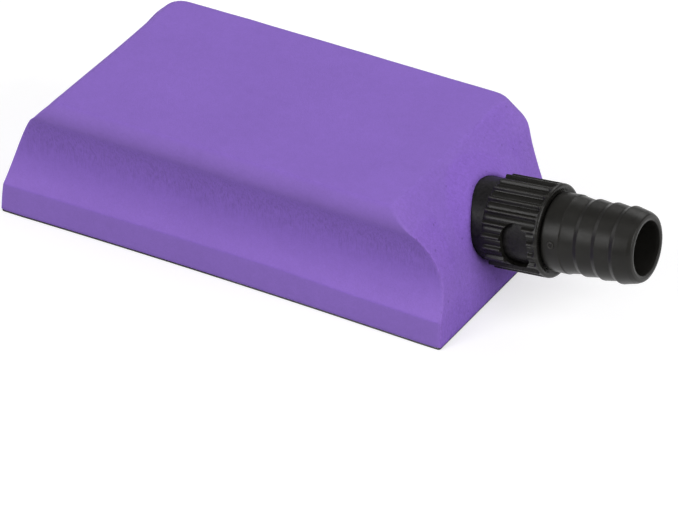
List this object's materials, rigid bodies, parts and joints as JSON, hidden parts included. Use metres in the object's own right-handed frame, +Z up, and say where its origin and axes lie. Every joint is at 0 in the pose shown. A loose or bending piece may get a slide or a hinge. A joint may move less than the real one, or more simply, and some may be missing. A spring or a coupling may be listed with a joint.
{
  "type": "flexible sanding block",
  "caption": "Soft foam hand sanding block with hook facing below, dust holes, an inner plenum and a swivelling barbed hose outlet with a suction regulating collar.",
  "frame": {"origin": "middle of the working face, the underside of the hook sheet", "axes": "+X along the block towards the hose tail, +Y to the back across the block, +Z up out of the palm face"},
  "size_m": [0.1764, 0.0666, 0.0373],
  "materials": {
    "purple_foam": "matt closed-cell foam, sanded skin",
    "insert_foam": "matt closed-cell foam, cut faces",
    "hook_facing": "dense moulded micro hooks on a woven backing",
    "spigot_plastic": "satin moulded plastic",
    "seal_rubber": "matt rubber",
    "collar_plastic": "satin moulded plastic with worn crests",
    "tail_plastic": "satin moulded plastic"
  },
  "bodies": {
    "block": {"foam_body": "purple_foam", "foam_insert": "insert_foam", "hook_sheet": "hook_facing", "outlet_spigot": "spigot_plastic", "friction_ring": "seal_rubber", "swivel_washer": "seal_rubber"},
    "collar": {"regulator_collar": "collar_plastic"},
    "tail": {"hose_tail": "tail_plastic"}
  },
  "joints": [
    {"name": "collar_turn", "type": "hinge", "parent": "block", "child": "collar", "pos_m": [0.06667, 0, 0.02124], "axis": [-0.9934, 0, -0.1149], "range_deg": [0, 90]},
    {"name": "tail_swivel", "type": "hinge", "parent": "block", "child": "tail", "pos_m": [0.06667, 0, 0.02124], "axis": [0.9934, 0, 0.1149], "continuous": true}
  ]
}
